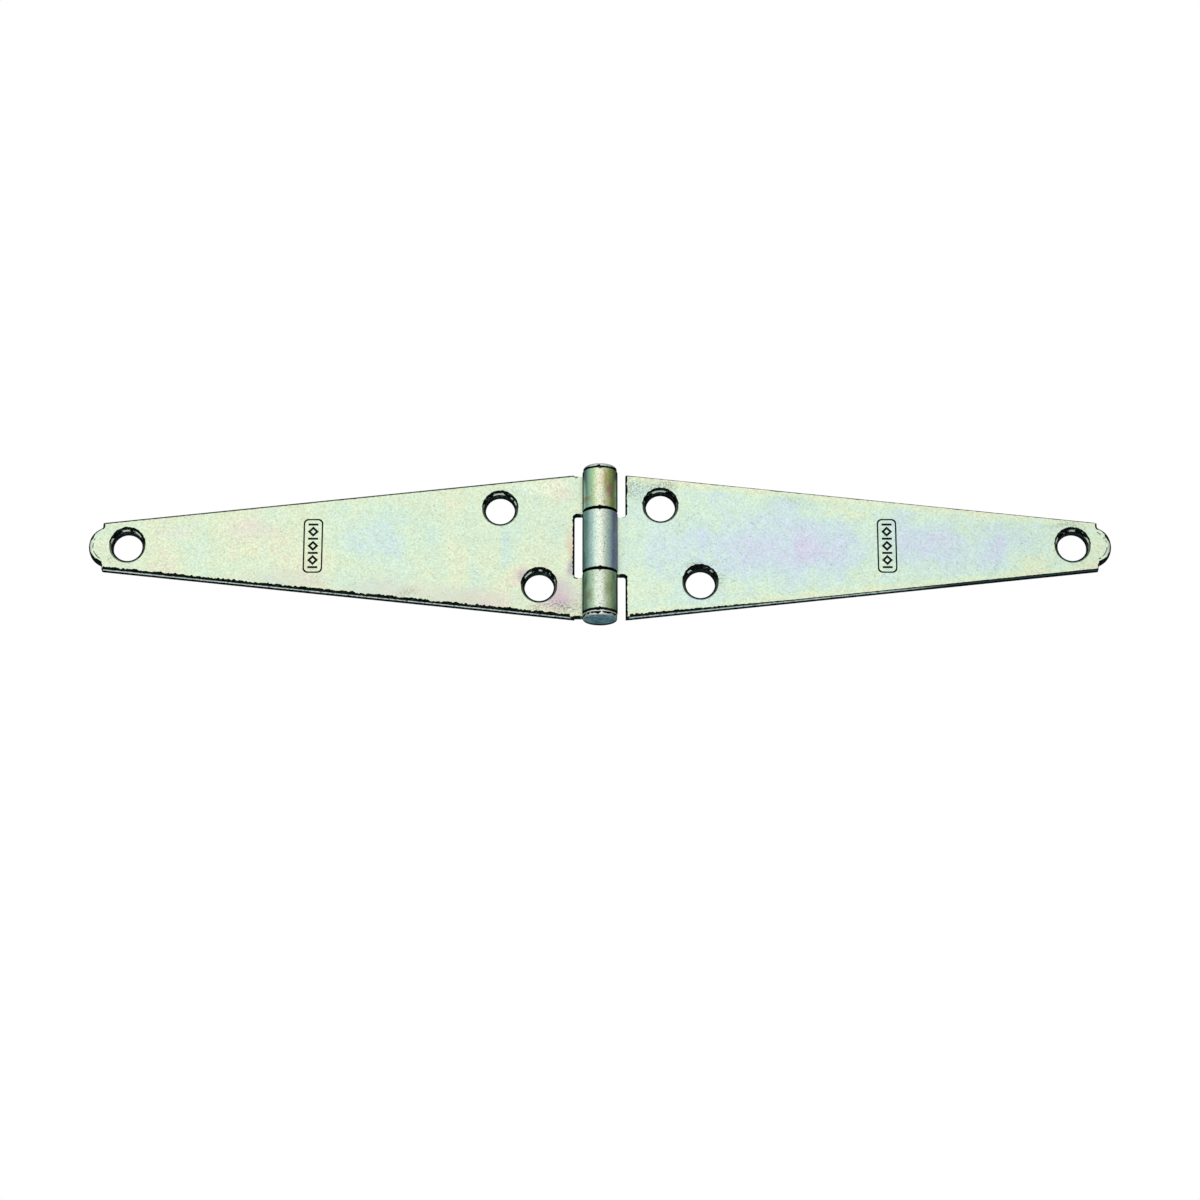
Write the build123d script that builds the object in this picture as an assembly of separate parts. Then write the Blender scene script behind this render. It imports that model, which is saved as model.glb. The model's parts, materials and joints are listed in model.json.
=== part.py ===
"""Light strap hinge: two tapered steel leaves rolled round one riveted pin.

Frame: the hinge lies open and flat with its mounting faces on Z = 0 and its barrel standing up in +Z.
X runs along the leaves, Y along the pin, and the origin is on the mounting plane under the pin's middle.
All sizes are in millimetres.
"""

from build123d import *
import math
import os

# ---- sheet, pin and barrel ----
SHEET = 2.0  # leaf thickness
PIN_RADIUS = 1.46
PIN_CLEARANCE = 0.04  # radial, in every knuckle
BORE_RADIUS = PIN_RADIUS + PIN_CLEARANCE
BARREL_RADIUS = BORE_RADIUS + SHEET
AXIS_Z = BARREL_RADIUS  # the barrel is tangent to the mounting plane

# ---- knuckles, along the pin ----
BARREL_HALF = 14.85  # pin middle to the outer end of an end knuckle
KNUCKLE_GAP = 0.48  # free space between neighbouring knuckles
MIDDLE_HALF = 6.13  # half the length of the middle knuckle
END_INNER = MIDDLE_HALF + KNUCKLE_GAP
KNUCKLE_ROUND = 0.16  # worn edge at each end of a knuckle
CURL_END_GAP = 0.10  # the rolled lip stops this far above the leaf's front face

# ---- leaf outline, measured from the pin axis ----
LEAF_LENGTH = 101.6  # 4 in to the tip of the nose
ROOT_X = 5.05  # where the full-width blade starts, clear of the other leaf's knuckles
ROOT_HALF_WIDTH = 15.10
SHOULDER_X = 98.9
SHOULDER_HALF_WIDTH = 4.93
NOSE_ROOT_HALF_WIDTH = 3.86
NOSE_RADIUS = 4.0
NOTCH_FILLET = 0.45  # inside corners of the knuckle notches
NOSE_FILLET = 0.35  # inside corners beside the nose
CORNER_FILLET = 0.22  # outside corners of the shoulders

# ---- sheared edge ----
DIE_ROLL = 0.28  # rounding where the punch entered, on the mounting face
BREAK_HEIGHT = 1.05  # the torn part of the edge, under the front face
BREAK_DEPTH = 0.12  # how far it leans in at the front face
NOSE_ROLL = 0.80  # the tip of the nose is also rolled over on its front face
NOSE_ROLL_SWING = 7.5  # radius of that rounding's outer line, larger than the nose, so that it fades out
NOSE_ROLL_ANGLE = 36  # degrees to each side

# ---- screw holes, as (distance from the pin axis, distance from the centreline) ----
HOLE_RADIUS = 2.9
SINK_RADIUS = 3.6
SINK_DEPTH = 0.8
HOLES = [(12.05, 8.4), (19.88, -7.79), (93.85, 0.0)]

# ---- pin heads ----
FLAT_HEAD_RADIUS = 3.38
FLAT_HEAD_RIM = 1.05  # straight side of the preformed head
FLAT_HEAD_ROUND = 0.2  # shoulder between its side and its face
FLAT_HEAD_HEIGHT = 1.42
DOME_HEAD_RADIUS = 3.3
DOME_HEAD_RIM = 0.45  # straight side of the hammered head
DOME_HEAD_ROUND = 0.6
DOME_HEAD_HEIGHT = 1.45
HEAD_SEAT = 0.02  # the heads just clear the end knuckles

# ---- stamped decoration on each leaf ----
STAMP_X = 57.0
STAMP_LENGTH = 11.4  # across the leaf
STAMP_WIDTH = 3.9
STAMP_DEPTH = 0.16
FRAME_LINE = 0.30
FRAME_CORNER = 0.25  # corner radius of the frame, as a share of its width
MARK_LINE = 0.44  # the diamonds and bars inside the frame are struck with a broader line
DIAMOND_SIDE = 1.55
DIAMOND_PITCH = 3.0
BAR_LENGTH = 2.0
DIAMONDS = 3

MARGIN = 1.0  # spare length of cutting tools
SAME = 1e-6  # two lengths that differ by less than this are the same


def nose_tangent():
    """Where the straight flank from the nose root meets the nose arc, on the +Y side."""
    centre_x = LEAF_LENGTH - NOSE_RADIUS
    along = SHOULDER_X - centre_x
    distance = math.hypot(along, NOSE_ROOT_HALF_WIDTH)
    angle = math.atan2(NOSE_ROOT_HALF_WIDTH, along) - math.acos(NOSE_RADIUS / distance)
    return centre_x + NOSE_RADIUS * math.cos(angle), NOSE_RADIUS * math.sin(angle)


def blade_outline():
    """The full-width blade from the knuckle notches to the nose, as one face."""
    flank = [
        (ROOT_X, ROOT_HALF_WIDTH),
        (SHOULDER_X, SHOULDER_HALF_WIDTH),
        (SHOULDER_X, NOSE_ROOT_HALF_WIDTH),
        nose_tangent(),
    ]
    mirrored = [(x, -y) for x, y in reversed(flank)]
    nose = ThreePointArc(flank[-1], (LEAF_LENGTH, 0), mirrored[0])
    root = Line(mirrored[-1], flank[0])
    return make_face([*Polyline(*flank).edges(), nose, *Polyline(*mirrored).edges(), root])


def tongue(low_y, high_y, start_x):
    """The flat strip that joins the blade to the knuckle between low_y and high_y."""
    end_x = ROOT_X + MARGIN
    return Pos((start_x + end_x) / 2, (low_y + high_y) / 2) * Rectangle(end_x - start_x, high_y - low_y)


def vertices_at(face, x, half_widths):
    """The outline's corners at one X whose distance from the centreline lies in a range."""
    low, high = half_widths
    return [v for v in face.vertices() if abs(v.X - x) < SAME and low < abs(v.Y) < high]


def blank_outline(knuckles, start_x):
    """The flat blank: the blade and one tongue for each knuckle, with its corners rounded."""
    face = blade_outline()
    for low_y, high_y in knuckles:
        face += tongue(low_y, high_y, start_x)
    face = fillet(vertices_at(face, ROOT_X, (0, ROOT_HALF_WIDTH - MARGIN)), NOTCH_FILLET)
    middle = (NOSE_ROOT_HALF_WIDTH + SHOULDER_HALF_WIDTH) / 2
    face = fillet(vertices_at(face, SHOULDER_X, (0, middle)), NOSE_FILLET)
    return fillet(vertices_at(face, SHOULDER_X, (middle, ROOT_HALF_WIDTH)), CORNER_FILLET)


def free_edges(face, low_x):
    """The edges of a flat face whose middle lies beyond one X."""
    return [e for e in face.edges() if e.center().X > low_x]


def sheared_blank(knuckles):
    """The punched sheet: rolled over at its back edge and torn under its front edge."""
    start_x = BARREL_RADIUS
    sheet = extrude(blank_outline(knuckles, start_x), SHEET)
    back_face = sheet.faces().sort_by(Axis.Z)[0]
    sheet = fillet(free_edges(back_face, start_x + MARGIN / 2), DIE_ROLL)
    front_face = sheet.faces().sort_by(Axis.Z)[-1]
    torn = free_edges(front_face, start_x + MARGIN / 2)
    return chamfer(torn, BREAK_DEPTH, BREAK_HEIGHT, reference=front_face)


def nose_roll():
    """Cutter that rounds the front of the nose over, most at the tip and not at all at its flanks."""
    centre_x = LEAF_LENGTH - NOSE_ROLL_SWING
    inner = NOSE_ROLL_SWING - NOSE_ROLL
    middle = NOSE_ROLL * math.sqrt(0.5)
    start, end = (inner, SHEET), (NOSE_ROLL_SWING, SHEET - NOSE_ROLL)
    round_over = ThreePointArc(start, (inner + middle, SHEET - NOSE_ROLL + middle), end)
    outer = NOSE_ROLL_SWING + MARGIN
    above = SHEET + MARGIN
    rest = Polyline(end, (outer, SHEET - NOSE_ROLL), (outer, above), (inner, above), start)
    profile = Plane.XZ * make_face([round_over, *rest.edges()])
    swept = revolve(profile, Axis.Z, 2 * NOSE_ROLL_ANGLE)
    return Pos(centre_x, 0, 0) * Rot(0, 0, -NOSE_ROLL_ANGLE) * swept


def curl_profile():
    """Section of a knuckle across the pin: a ring open just above the leaf, and the strip that feeds it."""
    ring = Circle(BARREL_RADIUS) - Circle(BORE_RADIUS)
    lip_angle = math.asin((BARREL_RADIUS - SHEET - CURL_END_GAP) / BARREL_RADIUS)
    reach = 2 * BARREL_RADIUS
    opening = make_face(
        Polyline(
            (0, 0),
            (reach * math.cos(lip_angle), -reach * math.sin(lip_angle)),
            (reach, -reach),
            (0, -reach),
            close=True,
        )
    )
    feed_end = BARREL_RADIUS
    feed = Pos(feed_end / 2, -BARREL_RADIUS + SHEET / 2) * Rectangle(feed_end, SHEET)
    return (ring - opening) + feed


def knuckle(low_y, high_y):
    """One rolled knuckle between two places along the pin, with worn ends."""
    section = Plane(origin=(0, high_y, AXIS_Z), x_dir=(1, 0, 0), z_dir=(0, -1, 0))
    curl = extrude(section * curl_profile(), high_y - low_y)
    outer = [
        e
        for e in curl.edges().filter_by(GeomType.CIRCLE)
        if abs(e.radius - BARREL_RADIUS) < SAME
    ]
    return fillet(outer, KNUCKLE_ROUND)


def screw_hole(x, y):
    """Cutter for one countersunk screw hole, open at both faces."""
    taper = (SINK_RADIUS - HOLE_RADIUS) / SINK_DEPTH
    top_radius = SINK_RADIUS + taper * MARGIN
    sink = Pos(x, y, SHEET - SINK_DEPTH) * Cone(
        HOLE_RADIUS, top_radius, SINK_DEPTH + MARGIN, align=(Align.CENTER, Align.CENTER, Align.MIN)
    )
    return sink + Pos(x, y, SHEET / 2) * Cylinder(HOLE_RADIUS, SHEET + 2 * MARGIN)


def stamp():
    """Cutter for the stamped decoration: a plain frame round a row of diamonds and bars."""
    inner_length, inner_width = STAMP_LENGTH - 2 * FRAME_LINE, STAMP_WIDTH - 2 * FRAME_LINE
    frame = RectangleRounded(STAMP_WIDTH, STAMP_LENGTH, FRAME_CORNER * STAMP_WIDTH)
    frame -= RectangleRounded(inner_width, inner_length, FRAME_CORNER * inner_width)
    marks = frame
    hollow = DIAMOND_SIDE - 2 * MARK_LINE
    diamond = Rot(0, 0, 45) * (Rectangle(DIAMOND_SIDE, DIAMOND_SIDE) - Rectangle(hollow, hollow))
    for i in range(DIAMONDS):
        y = (i - (DIAMONDS - 1) / 2) * DIAMOND_PITCH
        marks += Pos(0, y) * diamond
    for i in range(DIAMONDS + 1):
        y = (i - DIAMONDS / 2) * DIAMOND_PITCH
        marks += Pos(0, y) * Rectangle(BAR_LENGTH, MARK_LINE)
    return Pos(STAMP_X, 0, SHEET - STAMP_DEPTH) * extrude(marks, STAMP_DEPTH + MARGIN)


def leaf(knuckles):
    """A finished leaf that reaches out along +X, rolled into the given knuckles."""
    body = sheared_blank(knuckles) - nose_roll()
    for x, y in HOLES:
        body -= screw_hole(x, y)
    body -= stamp()
    for low_y, high_y in knuckles:
        body += knuckle(low_y, high_y)
    return body


def head_profile(radius, rim, shoulder, height):
    """Half section of a pin head on +Y: a seat, a straight rim, a rounded shoulder and a crowned face."""
    seat_y = BARREL_HALF + HEAD_SEAT
    rim_y = seat_y + rim
    face_y = seat_y + height
    shoulder_radius = radius - shoulder
    shoulder_y = rim_y + shoulder
    diagonal = shoulder * math.sqrt(0.5)
    shoulder_middle = (shoulder_radius + diagonal, rim_y + diagonal)
    crown_rise = face_y - shoulder_y
    crown_radius = (shoulder_radius**2 + crown_rise**2) / (2 * crown_rise)
    half = shoulder_radius / 2
    crown_middle = (half, face_y - crown_radius + math.sqrt(crown_radius**2 - half**2))
    outline = [
        Polyline((0, 0), (PIN_RADIUS, 0), (PIN_RADIUS, seat_y), (radius, seat_y), (radius, rim_y)),
        ThreePointArc((radius, rim_y), shoulder_middle, (shoulder_radius, shoulder_y)),
        ThreePointArc((shoulder_radius, shoulder_y), crown_middle, (0, face_y)),
        Line((0, face_y), (0, 0)),
    ]
    return make_face([e for part in outline for e in part.edges()])


def hinge_pin():
    """The riveted pin: a flat preformed head on -Y and a hammered, domed one on +Y."""
    dome_profile = head_profile(DOME_HEAD_RADIUS, DOME_HEAD_RIM, DOME_HEAD_ROUND, DOME_HEAD_HEIGHT)
    flat_profile = head_profile(FLAT_HEAD_RADIUS, FLAT_HEAD_RIM, FLAT_HEAD_ROUND, FLAT_HEAD_HEIGHT)
    domed = revolve(dome_profile, Axis.Y)
    flat = revolve(flat_profile, Axis.Y).mirror(Plane.XZ)
    return Pos(0, 0, AXIS_Z) * (domed + flat)


def main():
    os.makedirs("parts", exist_ok=True)
    end_knuckles = [(-BARREL_HALF, -END_INNER), (END_INNER, BARREL_HALF)]
    middle_knuckle = [(-MIDDLE_HALF, MIDDLE_HALF)]
    parts = {
        "two_knuckle_leaf": Rot(0, 0, 180) * leaf(end_knuckles),
        "one_knuckle_leaf": leaf(middle_knuckle),
        "hinge_pin": hinge_pin(),
    }
    for name, shape in parts.items():
        export_step(shape, f"parts/{name}.step")


main()
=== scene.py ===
"""Looks of a light strap hinge: iridescent zinc on tapered leaves, torn edges and a hammered pin.

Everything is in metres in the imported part's frame: mounting faces on z = 0, barrel up, pin along y.
"""

import json
import math
import random
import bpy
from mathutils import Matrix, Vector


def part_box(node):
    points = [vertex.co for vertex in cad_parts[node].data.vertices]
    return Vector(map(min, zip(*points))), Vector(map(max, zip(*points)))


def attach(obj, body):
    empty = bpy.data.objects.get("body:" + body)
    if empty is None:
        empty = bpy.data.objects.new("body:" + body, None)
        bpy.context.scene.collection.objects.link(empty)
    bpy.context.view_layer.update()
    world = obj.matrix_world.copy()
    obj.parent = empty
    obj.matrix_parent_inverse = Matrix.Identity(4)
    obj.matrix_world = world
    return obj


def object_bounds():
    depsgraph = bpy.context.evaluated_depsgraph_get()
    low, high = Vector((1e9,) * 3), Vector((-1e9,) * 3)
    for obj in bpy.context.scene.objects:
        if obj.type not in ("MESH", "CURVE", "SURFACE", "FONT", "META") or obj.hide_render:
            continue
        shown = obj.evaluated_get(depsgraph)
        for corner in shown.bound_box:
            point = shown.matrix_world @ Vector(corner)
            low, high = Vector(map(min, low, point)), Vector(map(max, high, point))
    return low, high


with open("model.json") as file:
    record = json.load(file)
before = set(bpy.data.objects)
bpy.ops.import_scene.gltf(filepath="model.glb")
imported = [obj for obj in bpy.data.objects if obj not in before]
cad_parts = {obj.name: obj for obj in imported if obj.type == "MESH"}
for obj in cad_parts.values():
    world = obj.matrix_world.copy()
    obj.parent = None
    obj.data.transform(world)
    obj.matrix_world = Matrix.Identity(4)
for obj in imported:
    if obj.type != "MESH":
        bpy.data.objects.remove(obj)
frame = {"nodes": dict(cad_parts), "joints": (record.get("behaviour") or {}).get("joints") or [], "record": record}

from types import SimpleNamespace

import bmesh
import bpy
from mathutils import Vector, noise
from mathutils.bvhtree import BVHTree

MM = 0.001

# ---- what the frame gives ----
nodes = frame["nodes"]
record = frame["record"]
cad_low, cad_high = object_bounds()
SWING_AXIS_Z = frame["joints"][0]["pos_m"][2]
BARREL_RADIUS = SWING_AXIS_Z
LEAVES = {"two_knuckle_leaf": "fixed_leaf", "one_knuckle_leaf": "swinging_leaf"}
BORE_MOUNTS = [mount for mount in record["mounts"] if mount["kind"] == "bore"]
BORES = {
    leaf: [mount["pos_m"] for mount in BORE_MOUNTS if mount["name"].startswith(leaf)]
    for leaf in LEAVES
}


def corners(node):
    """The corner points of a node's mesh."""
    return [vertex.co for vertex in nodes[node].data.vertices]


# Reaches are distances from the pin's axis along a leaf.
SHEET = max(c.z for c in corners("one_knuckle_leaf") if abs(c.x) > 2 * BARREL_RADIUS)  # thickness
BARREL_REACH = 3.9 * MM  # everything on a leaf beyond this is clear of the barrel
ROOT_REACH, ROOT_HALF_WIDTH = 5.05 * MM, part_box("one_knuckle_leaf")[1][1]
TIP_REACH = 98.9 * MM  # the shoulders, where the nose starts
SHOULDER_REACH = TIP_REACH - 0.2 * MM  # strips beyond this belong to the shoulders and the nose
TIP_HALF_WIDTH = max(abs(c.y) for c in corners("one_knuckle_leaf") if c.x > TIP_REACH - 0.9 * MM)
TAPER = (ROOT_HALF_WIDTH - TIP_HALF_WIDTH) / (TIP_REACH - ROOT_REACH)
HOLE_RADIUS = 2.9 * MM
SINK_RADIUS = 3.6 * MM
BORE_CLEAR = 3.75 * MM  # just outside a countersink
KNUCKLE_ROUND = 0.16 * MM
EDGE_LEAN = 0.12 * MM  # how far the sheared edge leans in at the front face
MARK_START, MARK_END = 50 * MM, 64 * MM  # the stamped mark lies between these reaches
STRIP_SPACING = 0.16 * MM  # between the rows of a strip along an edge
STRIP_SINK = 0.05 * MM  # how deep a strip's underside lies in the metal
SECTION_HEIGHT = 0.6 * MM  # where the leaf's outline is widest
RAY_START = 20 * MM  # well above the object
SIDEWAYS = 0.45  # an outline whose outward direction has more y than this is a near or a far edge
OUTER_END = -14 * MM  # the knuckle end beside the flat pin head lies beyond this
FLAT_FACE_RADIUS = 3.33 * MM  # just inside the rim of the pin's flat head
# Dark rings on the pin's heads, painted shade at the rims: side of the pin, radius, start beyond the
# knuckle's end, width, and whether the ring is broken into short arcs.
HEAD_RINGS = [
    (-1, 3.38 * MM, -0.01 * MM, 0.26 * MM, False),
    (-1, 3.38 * MM, 0.46 * MM, 0.50 * MM, True),
    (1, 3.30 * MM, 0.03 * MM, 0.42 * MM, False),
]

# ---- camera and stage ----
CAMERA_TILT = math.radians(20)  # off the face normal, towards the pin's flat head
CAMERA_DISTANCE = 0.730
LENS_MM = 110
AIM_BELOW = 10.1 * MM  # the camera looks below the object's middle, which lifts it in the picture
FLOOR_Z = -0.112  # under the leaf at its lowest pose
FLOOR_SIZE = 12.0
FLOOR_GREY = (0.035, 0.045, 0.045, 1)
FLOOR_CARD = (0.72, 0.84, 0.84, 1)
TENT_TOP = (-0.20, 0.22, 1.0)
TENT_TINT = (0.96, 1.0, 0.99)
# Brightness of the tent by the angle, in degrees, from its top.
TENT_LEVELS = [
    (0, 0.70), (30, 0.68), (45, 0.62), (64, 0.46), (80, 0.34), (96, 0.20), (120, 0.10), (180, 0.06),
]
# Paler patches behind and in front, which light the hinge where it is seen from there.
REAR_GLOW = (0.66, 0.70, 0.68, 1)
FRONT_GLOW = (0.60, 0.64, 0.62, 1)
TOP_LIGHT = {"place": (-0.19, 0.36, 1.05), "size": (1.05, 1.0), "radiance": 0.40}


def linear(*srgb):
    """Linear colour of three sRGB values from 0 to 255."""
    values = [c / 255 for c in srgb]
    colour = [c / 12.92 if c <= 0.04045 else ((c + 0.055) / 1.055) ** 2.4 for c in values]
    return (*colour, 1.0)


class Graph:
    """A node tree with a short method for each kind of node; values are sockets or numbers."""

    def __init__(self, tree):
        self.tree = tree
        tree.nodes.clear()

    def add(self, kind, inputs=None, **settings):
        node = self.tree.nodes.new(kind)
        for name, value in settings.items():
            setattr(node, name, value)
        for key, value in (inputs or {}).items():
            self.put(node.inputs[key], value)
        return node

    def put(self, socket, value):
        if isinstance(value, bpy.types.NodeSocket):
            self.tree.links.new(value, socket)
        else:
            socket.default_value = value

    def math(self, operation, a, b=0.0, c=0.0):
        return self.add("ShaderNodeMath", {0: a, 1: b, 2: c}, operation=operation).outputs[0]

    def vary(self, noise, amount, around):
        """A value that a noise around 0.5 moves up and down."""
        return self.math("MULTIPLY_ADD", self.math("SUBTRACT", noise, 0.5), amount, around)

    def vector(self, operation, a, b=(0, 0, 0)):
        node = self.add("ShaderNodeVectorMath", {0: a, 1: b}, operation=operation)
        gives_number = operation in ("LENGTH", "DISTANCE", "DOT_PRODUCT")
        return node.outputs["Value" if gives_number else "Vector"]

    def turned(self, vector, degrees, scale):
        """The vector turned about z, then scaled."""
        inputs = {"Vector": vector, "Angle": math.radians(degrees)}
        turn = self.add("ShaderNodeVectorRotate", inputs, rotation_type="Z_AXIS")
        return self.vector("MULTIPLY", turn.outputs[0], scale)

    def split(self, vector):
        return self.add("ShaderNodeSeparateXYZ", {0: vector}).outputs

    def step(self, value, low, high):
        """0 below low and 1 above high, or the other way round where low is the larger."""
        falling = low > high
        node = self.add(
            "ShaderNodeMapRange",
            {"Value": value, "From Min": min(low, high), "From Max": max(low, high)},
            interpolation_type="SMOOTHSTEP",
        )
        return self.math("SUBTRACT", 1.0, node.outputs[0]) if falling else node.outputs[0]

    def all(self, *masks):
        result = masks[0]
        for mask in masks[1:]:
            result = self.math("MULTIPLY", result, mask)
        return result

    def any(self, *masks):
        result = masks[0]
        for mask in masks[1:]:
            result = self.math("MAXIMUM", result, mask)
        return result

    def noise(self, vector, size, detail=2.0, roughness=0.5, distortion=0.0):
        """Noise from 0 to 1 around 0.5, with features of about this size in metres."""
        inputs = {"Vector": vector, "Scale": 1 / size, "Detail": detail}
        inputs.update({"Roughness": roughness, "Distortion": distortion})
        return self.add("ShaderNodeTexNoise", inputs).outputs["Fac"]

    def cells(self, vector, size):
        """Distance from the nearest of many scattered points about this far apart."""
        node = self.add("ShaderNodeTexVoronoi", {"Vector": vector, "Scale": 1 / size})
        return node.outputs["Distance"]

    def ramp(self, value, stops, interpolation="B_SPLINE"):
        node = self.add("ShaderNodeValToRGB", {"Fac": value})
        node.color_ramp.interpolation = interpolation
        elements = node.color_ramp.elements
        while len(elements) < len(stops):
            elements.new(0.5)
        for element, (place, colour) in zip(elements, stops):
            element.position = place
            element.color = colour
        return node.outputs["Color"]

    def mix(self, factor, a, b):
        node = self.add("ShaderNodeMix", data_type="RGBA", blend_type="MIX", clamp_factor=True)
        self.put(node.inputs[0], factor)
        self.put(node.inputs[6], a)
        self.put(node.inputs[7], b)
        return node.outputs[2]

    def lerp(self, factor, a, b):
        node = self.add("ShaderNodeMix", data_type="FLOAT")
        self.put(node.inputs[0], factor)
        self.put(node.inputs[2], a)
        self.put(node.inputs[3], b)
        return node.outputs[0]

    def scale(self, colour, factor):
        node = self.add("ShaderNodeVectorMath", {0: colour, 3: factor}, operation="SCALE")
        return node.outputs[0]

    def bump(self, height, distance):
        inputs = {"Height": height, "Distance": distance, "Strength": 1.0}
        return self.add("ShaderNodeBump", inputs).outputs[0]


def metal(name, build, edge_tint):
    """A metal whose colour, roughness and normal come from build(graph, position, normal)."""
    material = bpy.data.materials.new(name)
    material.use_nodes = True
    graph = Graph(material.node_tree)
    coordinates = graph.add("ShaderNodeTexCoord").outputs
    colour, roughness, normal = build(graph, coordinates["Object"], coordinates["Normal"])
    inputs = {"Base Color": colour, "Metallic": 1.0, "Roughness": roughness, "Normal": normal}
    shader = graph.add("ShaderNodeBsdfPrincipled", {**inputs, "Specular Tint": edge_tint})
    output = graph.add("ShaderNodeOutputMaterial")
    graph.put(output.inputs["Surface"], shader.outputs[0])
    return material


# ---- iridescent passivation: colour against film thickness ----
PALE_FILM = [
    (0.00, linear(232, 214, 222)),
    (0.16, linear(236, 228, 206)),
    (0.34, linear(230, 238, 206)),
    (0.50, linear(220, 238, 212)),
    (0.64, linear(212, 234, 224)),
    (0.78, linear(210, 224, 236)),
    (0.90, linear(216, 216, 236)),
    (1.00, linear(228, 208, 228)),
]
# Round each knuckle, from the left leaf's side over the top to the right leaf's side: the film's own colours with
# a painted highlight over the top and painted shade at the sides.
TOP_KNUCKLE_FILM_AND_SHADING = [
    (0.03, (0.66, 0.98, 0.90, 1)),
    (0.11, (0.62, 0.96, 0.84, 1)),
    (0.20, (0.50, 0.86, 0.62, 1)),
    (0.28, (0.56, 0.84, 0.46, 1)),
    (0.36, (0.72, 0.86, 0.52, 1)),
    (0.50, (0.94, 0.92, 0.76, 1)),
    (0.62, (0.82, 0.86, 0.56, 1)),
    (0.74, (0.66, 0.70, 0.30, 1)),
    (0.82, (0.42, 0.50, 0.11, 1)),
    (0.88, (0.62, 0.76, 0.32, 1)),
    (0.95, (0.85, 0.96, 0.66, 1)),
]
MIDDLE_KNUCKLE_FILM_AND_SHADING = [
    (0.04, (0.15, 0.25, 0.27, 1)),
    (0.12, (0.45, 0.72, 0.74, 1)),
    (0.28, (0.58, 0.84, 0.76, 1)),
    (0.42, (0.88, 0.94, 0.80, 1)),
    (0.58, (0.90, 0.93, 0.78, 1)),
    (0.70, (0.64, 0.84, 0.72, 1)),
    (0.80, (0.55, 0.76, 0.74, 1)),
    (0.87, (0.50, 0.56, 0.80, 1)),
    (0.93, (0.36, 0.38, 0.62, 1)),
]
BOTTOM_KNUCKLE_FILM_AND_SHADING = [
    (0.04, (0.16, 0.28, 0.19, 1)),
    (0.14, (0.52, 0.80, 0.58, 1)),
    (0.28, (0.64, 0.84, 0.58, 1)),
    (0.42, (0.84, 0.89, 0.78, 1)),
    (0.56, (0.86, 0.89, 0.78, 1)),
    (0.68, (0.70, 0.84, 0.56, 1)),
    (0.80, (0.60, 0.78, 0.42, 1)),
    (0.88, (0.50, 0.66, 0.46, 1)),
    (0.97, (0.16, 0.24, 0.18, 1)),
]

# Stains in the film of each leaf: centre x and y, radius in x and y (mm), and change of thickness.
STAINS = {
    "two_knuckle_leaf": [
        (-42, 1.5, 12, 9, 0.20),
        (-66, 0, 9, 9, -0.14),
        (-18.6, -1.0, 1.7, 6, 0.24),
        (-9.5, -11.5, 4.5, 3.5, -0.30),
        (-16.5, -6.0, 2.6, 3.0, -0.26),
        (-22, -12, 6, 3, -0.22),
        (-9, 12, 4, 2.5, -0.16),
        (-28, -4, 4, 6, -0.10),
        (-97.5, 0, 5, 4.5, -0.16),
    ],
    "one_knuckle_leaf": [
        (36, 0, 20, 9, 0.17),
        (14, 2, 7, 5, 0.06),
        (8, -9, 7, 7, -0.22),
        (46, 0, 8, 9, 0.13),
        (72, 0, 16, 6, 0.20),
        (86, -3, 5, 2, -0.15),
        (95, 0, 9, 6, -0.22),
        (26, -9, 8, 3, -0.14),
        (50, 7, 12, 2, -0.12),
    ],
}
FILM_BASE = {"two_knuckle_leaf": 0.42, "one_knuckle_leaf": 0.60}
FLANK_FILM = {"two_knuckle_leaf": -0.04, "one_knuckle_leaf": -0.24}  # change along the long edges
GRAIN_CONTRAST = 1.12
GRAIN_LEVEL = {"two_knuckle_leaf": 0.445, "one_knuckle_leaf": 0.475}
# Fine scratches: their direction in degrees, strength and colour.
SCRATCHES = [(38, 0.50, linear(250, 252, 246)), (-52, 0.40, linear(150, 168, 156))]
# How sideways a curl's surface is where the painted shade on its flanks starts.
SIDE_SHADE_START = {"two_knuckle_leaf": 0.90, "one_knuckle_leaf": 0.935}

# The sheared walls: colour and height of the die roll, the colour near black as painted shade over bare steel, and
# top of the ragged strip over it.
DIE_ROLL_AND_SHADE = {"two_knuckle_leaf": linear(14, 24, 24), "one_knuckle_leaf": linear(12, 24, 34)}
DIE_ROLL_HEIGHT = {"two_knuckle_leaf": 1.34 * MM, "one_knuckle_leaf": 1.26 * MM}
FRACTURE_HEIGHT = {"two_knuckle_leaf": 1.30, "one_knuckle_leaf": 1.22}  # mm

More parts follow.
